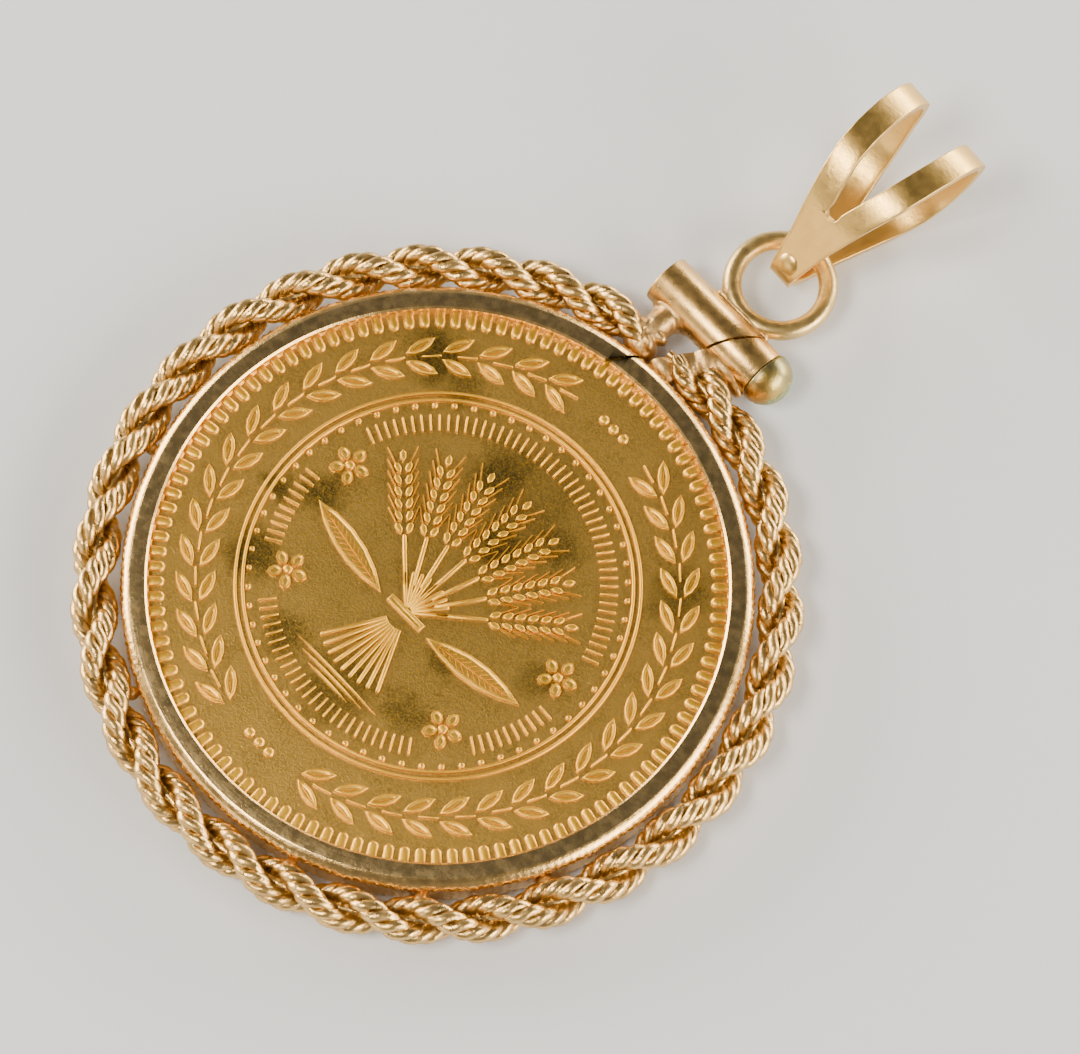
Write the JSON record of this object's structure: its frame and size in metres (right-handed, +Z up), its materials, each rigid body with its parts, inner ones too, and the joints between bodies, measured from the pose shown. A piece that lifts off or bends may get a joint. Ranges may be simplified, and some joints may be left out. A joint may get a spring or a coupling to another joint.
{
  "type": "coin pendant",
  "caption": "Coin pendant: a coin in a split rim with a twisted rope border, a screw tube, a jump ring and a double-loop bail.",
  "frame": {"origin": "the middle of the lying pendant's footprint, at the level of the rim's back", "axes": "+Z up, out of the coin's face; +Y from the coin towards the bail; +X along the screw tube towards the screw's head"},
  "size_m": [0.0266, 0.0388, 0.0057],
  "materials": {
    "coin_gold": "fine gold, struck, with brownish tarnish in the field",
    "mount_gold": "14 carat gold, polished and worn, with fine scratches",
    "rope_gold": "14 carat gold, twisted wires, polished on the crowns",
    "screw_brass": "polished, slightly green at the edge",
    "bail_gold": "14 carat gold, satin with fine scratches"
  },
  "bodies": {
    "root": {"coin": "coin_gold", "bezel_mount": "mount_gold", "rope_strand_1": "rope_gold", "rope_strand_2": "rope_gold", "closure_screw": "screw_brass", "bail": "bail_gold"}
  },
  "joints": []
}
